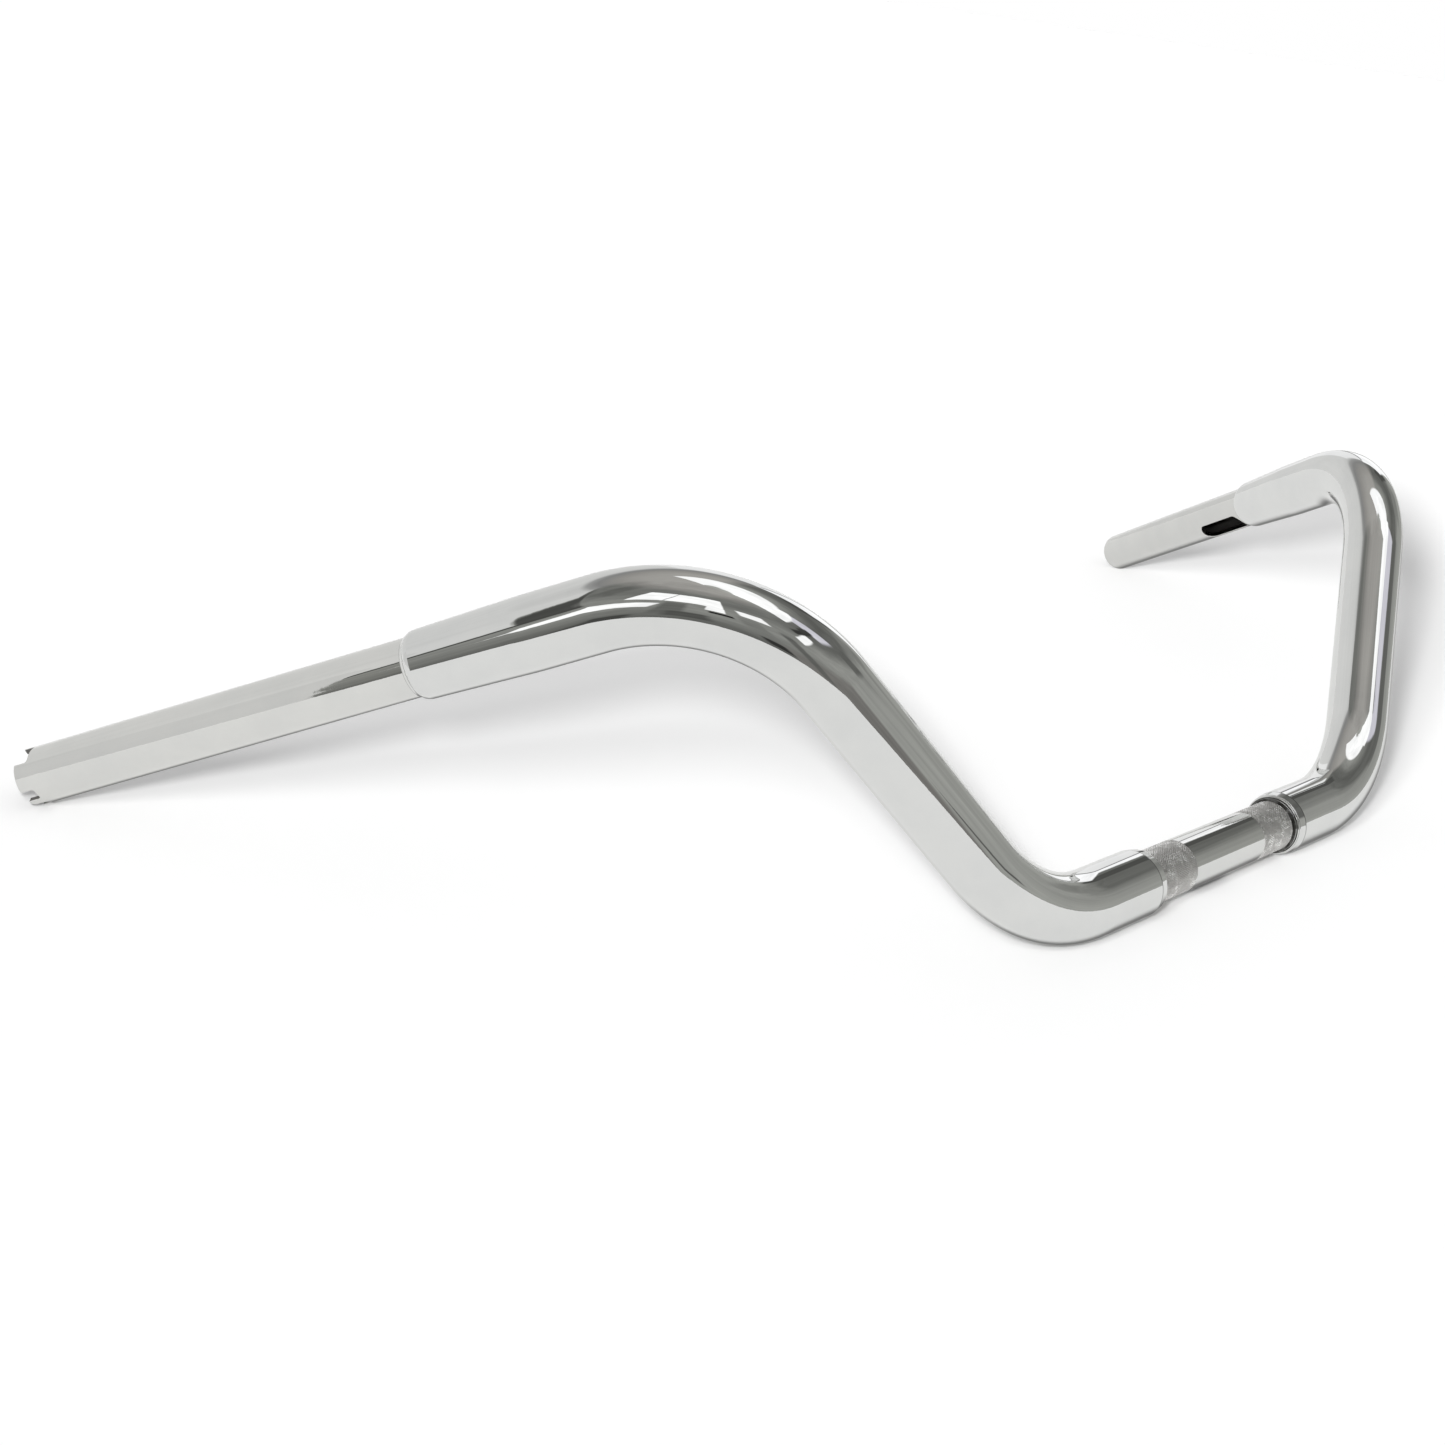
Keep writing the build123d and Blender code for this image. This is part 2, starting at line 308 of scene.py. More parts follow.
def fillet(before, corner, after, radius):
    """Length trimmed from each side of a corner, and the profile rows of its arc."""
    entry, leave = unit(corner - before), unit(after - corner)
    turn = acos(max(-1, min(1, float(entry @ leave))))
    if radius <= 0 or turn < 1e-4:
        return 0.0, []
    trim = min(radius * tan(turn / 2), 0.48 * np.linalg.norm(corner - before),
               0.48 * np.linalg.norm(after - corner))
    radius = trim / tan(turn / 2)
    side = np.sign(entry[0] * leave[1] - entry[1] * leave[0])
    centre = corner - entry * trim + np.array([-entry[1], entry[0]]) * side * radius
    steps = max(3, int(degrees(turn) / 9) + 2)
    rows = []
    for k in range(1, steps):
        angle = turn * k / steps * side
        normal = np.array([-entry[0] * sin(angle) - entry[1] * cos(angle),
                           entry[0] * cos(angle) - entry[1] * sin(angle)])
        rows.append((*(centre - normal * side * radius), *normal))
    return trim, rows


def profile(corners, closed=False):
    """Rows (s, radius, normal along, normal outward) of a line with the metal on its right.

    Corners are (s, radius, fillet, step to the next corner). A fillet of 0 gives a hard
    corner: the point twice, once with each side's normal.
    """
    places = np.array([corner[:2] for corner in corners], float)
    count = len(corners)
    trims, arcs = np.zeros(count), [[] for _ in corners]
    for i in range(count):
        if closed or 0 < i < count - 1:
            trims[i], arcs[i] = fillet(places[i - 1], places[i], places[(i + 1) % count],
                                       corners[i][2])
    rows = []
    for i in range(count if closed else count - 1):
        j = (i + 1) % count
        along = unit(places[j] - places[i])
        start, end = places[i] + along * trims[i], places[j] - along * trims[j]
        steps = max(1, int(np.ceil(np.linalg.norm(end - start) / corners[i][3])))
        rows += [(*(start + (end - start) * k / steps), -along[1], along[0])
                 for k in range(steps + 1)]
        rows += arcs[j]
    return np.array(rows)


def refined(rows, finest, bends):
    """Adds rows to long runs of a profile where the path bends."""
    result = [rows[0]]
    for start, end in zip(rows[:-1], rows[1:]):
        length, middle = abs(end[0] - start[0]), (start[0] + end[0]) / 2
        if length > finest and any(low - 1 <= middle <= high + 1 for low, high in bends):
            steps = int(np.ceil(length / finest))
            result += [start + (end - start) * k / steps for k in range(1, steps)]
        result.append(end)
    return np.array(result)


def level_rows(stations, radius, outward):
    return np.array([(s, radius, 0, outward) for s in stations])


def ring_angles(count, start=0.0):
    return radians(start) + np.linspace(0, 2 * pi, count + 1)


def skin_and_bore(sheets, rows, bore_r, angles, bore_material):
    """Turns a profile, changing material where it reaches the bore."""
    first = int(np.argmax((np.abs(rows[:, 1] - bore_r) < 1e-6) & (rows[:, 3] < -0.999)))
    sheets.turn(rows[:first + 1], angles)
    sheets.turn(rows[first:], angles, bore_material)


# ---- Round-ended slots ----
def slotted_tube(sheets, stations, opening, angles, slot, bevel, bore_material):
    """Outer and bore walls over the stations, with a parallel-sided slot cut through.

    opening is the s range of the patch remeshed round the slot; slot is (s, phi, length,
    width).
    """
    centre_s, centre_phi, length, width = slot
    i0, i1 = (int(np.argmin(np.abs(stations - end))) for end in opening)
    j0 = int(np.searchsorted(angles, centre_phi - SLOT_WINDOW)) - 1
    j1 = int(np.searchsorted(angles, centre_phi + SLOT_WINDOW))
    window = (i0, i1, j0, j1)
    sheets.turn(level_rows(stations, TUBE_R, 1), angles, PLATE, window)
    sheets.turn(level_rows(stations, BORE_R, -1), angles, bore_material, window)

    # Each point of the window's border is paired with the nearest point of the slot
    border = ([(i, j0) for i in range(i0, i1)] + [(i1, j) for j in range(j0, j1)]
              + [(i, j1) for i in range(i1, i0, -1)] + [(i0, j) for j in range(j1, j0, -1)])
    border.append(border[0])
    border_s = np.array([stations[i] for i, _ in border])
    border_phi = np.array([angles[j] for _, j in border])
    half = length / 2 - width / 2
    along, across = border_s - centre_s, TUBE_R * np.sin(border_phi - centre_phi)
    core = np.clip(along, -half, half)
    distance = np.hypot(along - core, across)
    out_along, out_across = (along - core) / distance, across / distance

    def outline(inset, radius):
        reach = width / 2 + inset
        turn = np.arcsin(np.clip(out_across * reach / radius, -1, 1))
        return centre_s + core + out_along * reach, centre_phi + turn

    steps = np.linspace(0, 1, 6) ** 1.3
    for radius, inset, side, material in ((TUBE_R, bevel, 1, PLATE),
                                          (BORE_R, 0.0, -1, bore_material)):
        sheets.loft(outline(inset, radius), (border_s, border_phi), steps, radius, side,
                    material)
    # The cutter's directions are fixed at the slot's centre
    _, _, slot_around, slot_along = sheets.place(centre_s, centre_phi, TUBE_R)
    into = slot_along * out_along[:, None] + slot_around * out_across[:, None]
    sheets.rim(outline, lambda around, along: into, BORE_R, bevel, PLATE)


# ---- Notched tube end ----
# Edge rows are (distance round, height from the tube end, distance round of the mesh column
# behind, angle of the notch's middle or nan on a tab).
def sixths(first, last):
    return [pi / 2 * k / 6 for k in range(first, last)]


def tab_rows(x0, x1, seam_before, seam_after):
    """Top of a tab, with rounded corners except where it meets the seam."""
    left = x0 if seam_before else x0 + TAB_ROUND
    right = x1 if seam_after else x1 - TAB_ROUND
    points = []
    if not seam_before:
        points += [(left - TAB_ROUND * cos(g), TAB_ROUND * (sin(g) - 1)) for g in sixths(0, 6)]
    count = max(3, int((right - left) / EDGE_STEP))
    points += [(left + (right - left) * k / count, 0.0) for k in range(count + 1)]
    if not seam_after:
        points += [(right + TAB_ROUND * sin(g), TAB_ROUND * (cos(g) - 1)) for g in sixths(1, 7)]
    ring_left = x0 if seam_before else x0 + RING_PULL
    ring_right = x1 if seam_after else x1 - RING_PULL
    return [(x, y, ring_left + (ring_right - ring_left) * (x - x0) / (x1 - x0), np.nan)
            for x, y in points]


def notch_rows(left, right, middle, half):
    """Wall, floor and wall of a notch; half is half its straight width."""
    top, foot = -TAB_ROUND, -NOTCH_DEPTH + NOTCH_FILLET

    def wall(x, start, end, ring_start, ring_end):
        return [(x, start + (end - start) * k / 7,
                 ring_start + (ring_end - ring_start) * k / 7, middle) for k in range(1, 7)]

    corner = [(-half + NOTCH_FILLET * (1 - cos(g)), foot - NOTCH_FILLET * sin(g))
              for g in sixths(0, 7)]
    flat = 2 * half - 2 * NOTCH_FILLET
    count = max(2, int(flat / EDGE_STEP))
    bottom = [(-half + NOTCH_FILLET + flat * k / count, -NOTCH_DEPTH) for k in range(1, count)]
    rows = wall(left, top, foot, left - RING_PULL, left)
    for across, y in corner + bottom + [(-v, y) for v, y in reversed(corner)]:
        x = (middle + asin(across / TUBE_R)) * TUBE_R
        rows.append((x, y, x, middle))
    return rows + wall(right, foot, top, right, right + RING_PULL)


def notch_edge():
    """Edge angles, heights, directions into the metal (round, along), column angles and
    notch middles, once round from the middle of a side tab."""
    narrow_at = (TAB_KEY + NOTCH_NARROW) / 2
    wide_at = TAB_KEY / 2 + NOTCH_NARROW + TAB_SIDE + NOTCH_WIDE / 2
    notches = ((KEY_ANGLE + wide_at, NOTCH_WIDE),
               (KEY_ANGLE + 360 - wide_at, NOTCH_WIDE),
               (KEY_ANGLE + 360 - narrow_at, NOTCH_NARROW),
               (KEY_ANGLE + 360 + narrow_at, NOTCH_NARROW))
    seam = radians(notches[0][0] - NOTCH_WIDE / 2 - TAB_SIDE / 2)
    rows, tab_start = [], seam * TUBE_R
    for k, (centre, span) in enumerate(notches):
        middle, half_span = radians(centre), radians(span / 2)
        left, right = (middle - half_span) * TUBE_R, (middle + half_span) * TUBE_R
        rows += tab_rows(tab_start, left, k == 0, False)
        rows += notch_rows(left, right, middle, TUBE_R * sin(half_span))
        tab_start = right
    rows += tab_rows(tab_start, (seam + 2 * pi) * TUBE_R, False, True)
    x, y, column, middles = np.array(rows).T
    circumference = 2 * pi * TUBE_R
    x_wrapped = np.concatenate([[x[-2] - circumference], x, [x[1] + circumference]])
    y_wrapped = np.concatenate([[y[-2]], y, [y[1]]])
    run, climb = x_wrapped[2:] - x_wrapped[:-2], y_wrapped[2:] - y_wrapped[:-2]
    length = np.hypot(run, climb)
    into = np.stack([climb / length, -run / length], 1)
    return x / TUBE_R, y, into, column / TUBE_R, middles


def inner_angles(phi, middles, radius):
    """Angles of the edge at a smaller radius, keeping the notches parallel-sided."""
    in_notch = ~np.isnan(middles)
    known, middle = phi[in_notch], middles[in_notch]
    sine = TUBE_R * np.sin(known - middle) / radius
    moved = middle + np.arcsin(np.clip(sine, -1, 1)) - known
    shift = np.empty_like(phi)
    shift[in_notch] = moved
    shift[~in_notch] = np.interp(phi[~in_notch],
                                 [known[-1] - 2 * pi, *known, known[0] + 2 * pi],
                                 [moved[-1], *moved, moved[0]])
    return phi + shift


# ---- Pieces ----
def riser():
    """Fat tube from the clamp section round both bends to the step."""
    taper_end = STEP_LEN - ROUND_LEN
    end = STEP_LEN - WELD_GRIP_LEG
    rise = TAPER_R - NOSE_R
    corners = [(FAT_START, FAT_BORE_R, 0.0, 1.0), (FAT_START, SHOULDER_R, 0.55, 0.6),
               (SHOULDER_START, FAT_R, 0.8, 8.0), (taper_end - TAPER_LEN, FAT_R, 260.0, 4.0),
               (taper_end, TAPER_R, 1.2, 0.5)]
    for k in range(1, 13):
        u = k / 12
        bulge = sqrt(1 - u * u * NOSE_FLATTEN) - sqrt(1 - NOSE_FLATTEN) * u
        corners.append((taper_end + (end - taper_end) * u, NOSE_R + rise * bulge,
                        0.0 if k == 12 else 0.6, 0.5))
    corners.append((end, FAT_BORE_R, 0.0, 12.0))
    rows = refined(profile(corners, closed=True), finest=1.35,
                   bends=((LOWER_IN, LOWER_OUT), (UPPER_IN, UPPER_OUT)))
    sheets = Sheets(bar_path)
    skin_and_bore(sheets, rows, FAT_BORE_R, ring_angles(168), 1)
    return sheets


# Waves that make a weld bead uneven: (count round the ring, share)
BEAD_WAVES = ((3, 0.5), (7, 0.3), (13, 0.25), (29, 0.14))


def bead(sheets, rows, first, last, start, leg, depth, seed):
    """Turns a weld; rows first to last are uneven, dying away at both ends of the leg."""
    def uneven(s, phi):
        # 1.7 spreads the waves' phases, 0.9 twists them along the bead
        waves = sum(share * np.sin(count * phi + seed * (k + 1.7) + 0.9 * s)
                    for k, (count, share) in enumerate(BEAD_WAVES))
        return -np.abs(depth * waves) * np.sin(pi * np.clip((s - start) / leg, 0, 1))
    angles = ring_angles(216)
    sheets.turn(rows[first:last + 1], angles, bump=uneven)
    sheets.turn(np.concatenate([rows[last:], rows[:first + 1]]), angles)
    return sheets


def weld_clamp(seed):
    """Two-pass bead between the clamp section and the fat tube's end face."""
    end, leg = FAT_START, WELD_CLAMP_LEG
    corners = [(end, TUBE_R, 0.0, 0.4), (end, TUBE_R + WELD_CLAMP_UP, 0.0, 0.1)]
    # Each pass: share of the leg and share of the height, at its start and end
    for (leg0, up0), (leg1, up1) in (((0.08, 1.0), (0.49, 0.60)), ((0.52, 0.57), (1.0, 0.0))):
        for k in range(9):
            angle = pi / 2 * k / 8
            corners.append((end - leg * (leg0 + (leg1 - leg0) * sin(angle)),
                            TUBE_R + WELD_CLAMP_UP * (up1 + (up0 - up1) * cos(angle)),
                            0.0 if k in (0, 8) else 0.5, 0.15))
    rows = profile(corners[::-1], closed=True)
    raised = np.where((rows[:, 1] > TUBE_R + 1e-6) & (rows[:, 0] < end - 1e-6))[0]
    return bead(Sheets(clamp_path), rows, raised[0] - 1, raised[-1] + 1,
                start=end - leg, leg=leg, depth=0.05, seed=seed)


def weld_grip(seed):
    """Bead between the fat tube's nose and the grip tube."""
    leg, up = WELD_GRIP_LEG, NOSE_R - TUBE_R
    corners = [(-leg, SPIGOT_R, 0.0, 0.4), (-leg, TUBE_R + up, 0.15, 0.3)]
    for k in range(1, 8):
        u = k / 8
        corners.append((-leg + leg * u, TUBE_R + up * (1 - u) * (1 - 0.25 * u), 0.4, 0.3))
    corners += [(0, TUBE_R, 0.0, 0.4), (0, SPIGOT_R, 0.0, 0.4)]
    rows = profile(corners, closed=True)
    s = rows[:, 0]
    raised = np.where((rows[:, 1] > TUBE_R + 1e-4) & (s > -leg + 1e-4) & (s < -1e-4))[0]
    return bead(Sheets(grip_path), rows, raised[0], raised[-1] + 1,
                start=-leg, leg=leg, depth=0.035, seed=seed)


def knurl_bump(s, phi):
    """Two crossed sets of grooves with flat crests, fading at the ends of the band."""
    around, along = KNURL_COUNT * phi / (2 * pi), np.abs(s) / KNURL_LEAD
    rising = np.abs(2 * ((around + along) % 1.0) - 1)
    falling = np.abs(2 * ((around - along) % 1.0) - 1)
    height = (np.minimum(np.minimum(rising, falling), KNURL_CREST) / KNURL_CREST) ** 0.85
    fade = np.clip(np.minimum(np.abs(s) - KNURL_IN, KNURL_OUT - np.abs(s)) / KNURL_FADE, 0, 1)
    fade = fade * fade * (3 - 2 * fade)
    # Slow waves vary the depth by up to 15%
    depth = 0.85 + 0.15 * np.sin(5 * phi + 0.35 * s) * np.sin(2 * phi - 0.22 * s)
    return -(1 - height) * KNURL_DEPTH * depth * fade


def clamp():
    """Clamp section: slotted on the underside in the middle, knurled on both sides of it."""
    sheets = Sheets(clamp_path)
    angles = ring_angles(396)
    patch, cap = EXIT_L / 2 + 1.4, EXIT_L / 2 - EXIT_W / 2
    plain = np.arange(-KNURL_IN, -patch - 0.2, 1.5)
    stations = np.concatenate([plain, np.linspace(-patch, -cap, 16),
                               np.linspace(-cap, cap, 9)[1:-1],
                               np.linspace(cap, patch, 16), -plain[::-1]])
    slotted_tube(sheets, stations, (-patch, patch), angles, (0.0, pi, EXIT_L, EXIT_W),
                 bevel=0.45, bore_material=CLAMP_BORE)
    end = FAT_START + INSERT_CLAMP
    for side in (1, -1):
        band = np.linspace(KNURL_IN, KNURL_OUT, 113) * side
        sheets.turn(level_rows(band, TUBE_R, 1), angles, CLAMP_KNURL, bump=knurl_bump)
        rows = profile([(KNURL_OUT, TUBE_R, 0, 1.6), (end, TUBE_R, 0.6, 6.0),
                        (end, BORE_R, 0.0, 30.0), (KNURL_IN, BORE_R, 0, 1)])
        rows[:, [0, 2]] *= side
        skin_and_bore(sheets, rows, BORE_R, angles, CLAMP_BORE)
    return sheets


def grip_body(sheets, angles):
    """Slotted length and the turned-down spigot inside the fat tube; returns where it ends."""
    centre, cap = SLOT_GAP + SLOT_L / 2, SLOT_L / 2 - SLOT_W / 2
    low, high = SLOT_GAP - 1.25, SLOT_GAP + SLOT_L + 1.6
    end = high + 9
    stations = np.concatenate([[0.0], np.linspace(low, centre - cap, 17),
                               np.linspace(centre - cap, centre + cap, 13)[1:-1],
                               np.linspace(centre + cap, high, 17), [high + 3, end]])
    slotted_tube(sheets, stations, (low, high), angles,
                 (centre, radians(SLOT_ANGLE), SLOT_L, SLOT_W),
                 bevel=0.5, bore_material=GRIP_BORE)
    sheets.turn(profile([(0, BORE_R, 0, 1), (-INSERT_GRIP, BORE_R, 0.0, 1),
                         (-INSERT_GRIP, SPIGOT_R, 0.5, 6), (0, SPIGOT_R, 0, 1),
                         (0, TUBE_R, 0, 1)]), angles)
    return end


def plain_grip():
    sheets = Sheets(grip_path)
    angles = ring_angles(192, SLOT_ANGLE - 180)
    start = grip_body(sheets, angles)
    rows = profile([(start, TUBE_R, 0, 6), (GRIP_LEN, TUBE_R, END_ROUND, 0.5),
                    (GRIP_LEN, BORE_R, 0.45, 8), (start, BORE_R, 0, 1)])
    skin_and_bore(sheets, rows, BORE_R, angles, GRIP_BORE)
    return sheets


def notched_grip():
    sheets = Sheets(grip_path)
    edge_phi, edge_y, into, columns, middles = notch_edge()
    start = grip_body(sheets, columns)
    skirt, shelf = GRIP_LEN - SKIRT_LEN, GRIP_LEN - SENSOR_L
    sheets.turn(profile([(start, TUBE_R, 0, 6), (skirt, TUBE_R, 0, 1)]), columns)
    sheets.turn(profile([(skirt, SENSOR_R, 0, 8), (shelf, SENSOR_R, 0, 0.3),
                         (shelf, BORE_R, 0, 8), (start, BORE_R, 0, 1)]), columns, GRIP_BORE)

    def edge(inset, radius):
        phi = inner_angles(edge_phi, middles, radius) + into[:, 0] * inset / TUBE_R
        return GRIP_LEN + edge_y + into[:, 1] * inset, phi

    def into_at(around, along):
        return around * into[:, :1] + along * into[:, 1:]

    bevel, steps = 0.28, np.linspace(0, 1, 9)
    sheets.loft((skirt, columns), edge(bevel, TUBE_R), steps, TUBE_R, 1, PLATE)
    sheets.rim(edge, into_at, SENSOR_R, bevel, GRIP_CUT)
    sheets.loft((skirt, columns), edge(0.0, SENSOR_R), steps, SENSOR_R, -1, GRIP_BORE)
    return sheets


# ---- Shader helpers ----
class Shader:
    """Short ways to add nodes. An input takes a value or another node's output."""

    def __init__(self, owner, clear=False):
        owner.use_nodes = True
        self.tree = owner.node_tree
        if clear:
            self.tree.nodes.clear()

    def feed(self, node, inputs):
        for key, value in inputs.items():
            socket = node.inputs[key]
            if isinstance(value, bpy.types.NodeSocket):
                self.tree.links.new(value, socket)
            elif socket.type == "RGBA":
                socket.default_value = (*value, 1.0)
            else:
                socket.default_value = value

    def node(self, kind, inputs=None, **settings):
        node = self.tree.nodes.new("ShaderNode" + kind)
        for key, value in settings.items():
            setattr(node, key, value)
        self.feed(node, inputs or {})
        return node

    def out(self, kind, inputs=None, output=0, **settings):
        return self.node(kind, inputs, **settings).outputs[output]

    def math(self, operation, first, second=0.0):
        return self.out("Math", {0: first, 1: second}, operation=operation)

    def weighted(self, value, weight, plus):
        """value * weight + plus"""
        return self.out("Math", {0: value, 1: weight, 2: plus}, operation="MULTIPLY_ADD")

    def ramp(self, value, start, end, low=0.0, high=1.0):
        """Smooth step from low at start to high at end."""
        return self.out("MapRange", {"Value": value, "From Min": start, "From Max": end,
                                     "To Min": low, "To Max": high},
                        interpolation_type="SMOOTHSTEP")

    def mix(self, factor, off, on):
        """Colour off at factor 0, on at factor 1."""
        return self.out("Mix", {0: factor, 6: off, 7: on}, output=2, data_type="RGBA")

    def curve(self, value, stops):
        """Colour ramp; stops are (position, colour)."""
        node = self.node("ValToRGB", {0: value})
        elements = node.color_ramp.elements
        while len(elements) > 1:
            elements.remove(elements[-1])
        for k, (position, colour) in enumerate(stops):
            element = elements.new(position) if k else elements[0]
            element.position = position
            element.color = (*colour, 1.0)
        return node.outputs["Color"]

    def noise(self, vector, scale=1.0, detail=3.0, rough=0.6, stretch=(1, 1, 1),
              shift=(0, 0, 0)):
        if stretch:
            vector = self.out("Mapping", {"Vector": vector, "Scale": stretch,
                                          "Location": shift})
        return self.out("TexNoise", {"Vector": vector, "Scale": scale, "Detail": detail,
                                     "Roughness": rough}, output="Fac")

    def bump(self, height, strength, distance, **normal):
        return self.out("Bump", {"Strength": strength, "Distance": distance,
                                 "Height": height, **normal})

    def tube_uv(self):
        return self.out("UVMap", uv_map="tube")

    def object_coords(self, **settings):
        return self.out("TexCoord", output="Object", **settings)


def principled(name):
    """New material with its shader helper and its surface node."""
    material = bpy.data.materials.new(name)
    shader = Shader(material)
    return material, shader, shader.tree.nodes["Principled BSDF"]


# ---- Materials ----
def chrome(name, base, rough, spread, wave, grain=0.04, seed=0.0):
    """Chrome plate: buffing lines along the tube, faint haze, a slight orange peel and painted
    shade on grazing edges.

    spread is the roughness that haze adds, wave the strength of the peel, grain that of the
    buffing lines.
    """
    material, shader, surface = principled(name)
    uv, coords = shader.tube_uv(), shader.object_coords()
    haze = shader.noise(coords, scale=38.0, detail=4.0, shift=(seed, 0, 0))
    spots = shader.noise(coords, scale=420.0, shift=(0, seed, 0))
    lines = shader.noise(uv, detail=4.0, rough=0.65, stretch=(60, 2600, 1),
                         shift=(seed, seed, 0))
    peel = shader.noise(coords, scale=150.0, detail=2.0, rough=0.5, shift=(0, 0, seed))

    roughness = shader.ramp(haze, start=0.42, end=0.72, low=rough, high=rough + spread)
    roughness = shader.weighted(shader.ramp(spots, start=0.55, end=0.8),
                                weight=spread * 0.5, plus=roughness)
    roughness = shader.weighted(shader.ramp(lines, start=0.5, end=0.85),
                                weight=spread * 0.7, plus=roughness)

    # Hazy plate is a little darker and bluer
    dark = tuple(c * 0.955 for c in base)
    hazed = (dark[0], dark[1] * 1.003, dark[2] * 1.008)
    colour = shader.mix(shader.ramp(haze, start=0.3, end=0.75), off=base, on=hazed)

    # Painted shade: darken grazing edges that face down and right in the camera's view, standing
    # in for the shadow reflected along the lower outlines
    facing = shader.out("LayerWeight", {"Blend": 0.5}, output="Facing")
    normal = shader.out("VectorTransform", {0: shader.out("NewGeometry", output="Normal")},
                        vector_type="NORMAL", convert_from="WORLD", convert_to="CAMERA")
    down_right = shader.out("VectorMath", {0: normal, 1: (0.5, -0.87, 0.0)}, output="Value",
                            operation="DOT_PRODUCT")
    edge = shader.math("MULTIPLY", shader.ramp(facing, start=0.64, end=0.88),
                       shader.ramp(down_right, start=0.05, end=0.75, high=0.85))

    peeled = shader.bump(peel, strength=wave, distance=0.0004)
    shader.feed(surface, {
        "Metallic": 1.0,
        "Roughness": roughness,
        "Base Color": shader.mix(edge, off=colour, on=(0.10, 0.10, 0.10)),
        "Specular Tint": shader.mix(edge, off=(1.0, 1.0, 1.0), on=(0.25, 0.25, 0.25)),
        "Normal": shader.bump(lines, strength=grain, distance=0.00005, Normal=peeled)})
    return material


def crease_shaded_chrome(name, creases, depth, seed, **finish):
    """Chrome with painted shade at creases, given as (s, half width) in millimetres."""
    material = chrome(name, seed=seed, **finish)
    shader = Shader(material)
    surface = shader.tree.nodes["Principled BSDF"]
    uv = shader.tube_uv()
    s = shader.out("SeparateXYZ", {0: uv})
    along = shader.math("MULTIPLY", shader.math("ABSOLUTE", s), 1000.0)
    crease_shade_noise = shader.noise(uv, stretch=(900, 300, 1), shift=(seed, 0, 0))
    dark = None
    for place, width in creases:
        away = shader.math("ABSOLUTE", shader.math("SUBTRACT", along, place))
        crease_shade = shader.ramp(away, start=width, end=width * 0.5)
        dark = crease_shade if dark is None else shader.math("MAXIMUM", dark, crease_shade)
    # Painted shade: the crease bands darken the colour and roughen the plate, their strength
    # varied by noise
    dark = shader.math("MULTIPLY", dark, shader.ramp(crease_shade_noise, start=0.25, end=0.6,
                                                     low=0.8 * depth, high=depth))
    colour, roughness = (surface.inputs[key].links[0].from_socket
                         for key in ("Base Color", "Roughness"))
    shader.feed(surface, {
        "Base Color": shader.mix(dark, off=colour, on=(0.05, 0.049, 0.046)),
        "Roughness": shader.weighted(dark, weight=0.25, plus=roughness)})
    return material


def knurl_chrome():
    """Plate over the knurl, worn bright in patches and hazed in others."""
    material, shader, surface = principled("chrome_knurl")
    uv, coords = shader.tube_uv(), shader.object_coords()
    patch = shader.noise(coords, scale=130.0, shift=(2.3, 0, 0))
    speck = shader.noise(coords, scale=620.0, rough=0.7, shift=(0, 1.3, 0))
    streak = shader.noise(uv, stretch=(120, 420, 1), shift=(1, 1, 0))
    worn = shader.ramp(shader.weighted(speck, weight=0.45, plus=patch), start=0.66, end=0.86)
    colour = shader.mix(worn, off=(0.60, 0.59, 0.58), on=(0.92, 0.92, 0.91))
    colour = shader.mix(shader.ramp(streak, start=0.5, end=0.75, high=0.5),
                        off=colour, on=(0.36, 0.35, 0.34))
    shader.feed(surface, {
        "Base Color": colour,
        "Metallic": 1.0,
        "Roughness": shader.weighted(
            shader.ramp(speck, start=0.35, end=0.7), weight=0.16,
            plus=shader.ramp(worn, start=0.0, end=1.0, low=0.30, high=0.10)),
        "Normal": shader.bump(shader.weighted(speck, weight=0.5, plus=streak),
                              strength=0.9, distance=0.0007)})
    return material


def bore_steel():
    """Inside of the tubes: dull grey steel with brownish patches."""
    material, shader, surface = principled("bore_steel")
    coords, uv = shader.object_coords(), shader.tube_uv()
    scale = shader.noise(coords, scale=60.0, detail=6.0, rough=0.65)
    lines = shader.noise(uv, detail=4.0, stretch=(40, 900, 1))
    shader.feed(surface, {
        "Base Color": shader.curve(scale, [(0.25, (0.055, 0.052, 0.048)),
                                           (0.5, (0.12, 0.118, 0.112)),
                                           (0.72, (0.20, 0.195, 0.185)),
                                           (0.85, (0.17, 0.125, 0.085))]),
        "Metallic": 0.85,
        "Roughness": shader.ramp(lines, start=0.3, end=0.7, low=0.34, high=0.55),
        "Normal": shader.bump(scale, strength=0.35, distance=0.0002)})
    return material


# Painted shade along the shoulder crease of the fat tube
RISER_PLATE = crease_shaded_chrome("chrome_plate", [(SHOULDER_START, 0.5)], depth=0.5, seed=0.0,
                             base=(0.80, 0.805, 0.80), rough=0.008, spread=0.015, wave=0.03,
                             grain=0.03)
GRIP_PLATE = chrome("chrome_plate_grip", base=(0.79, 0.79, 0.775), rough=0.02, spread=0.035,
                    wave=0.04, grain=0.06, seed=3.7)
# Painted shade: a darker copy of the right grip's plate, standing in for the dimmer reflections
# on the left grip
SHADED_LEFT_GRIP_PLATE = chrome("chrome_plate_grip_left", base=(0.72, 0.72, 0.707), rough=0.03,
                         spread=0.045, wave=0.04, grain=0.06, seed=6.1)
CLAMP_PLATE = chrome("chrome_plate_clamp", base=(0.78, 0.785, 0.775), rough=0.02, spread=0.03,
                     wave=0.04, seed=7.1)
KNURL = knurl_chrome()
WELD_FINISH = dict(base=(0.78, 0.785, 0.775), rough=0.035, spread=0.05, wave=0.10)
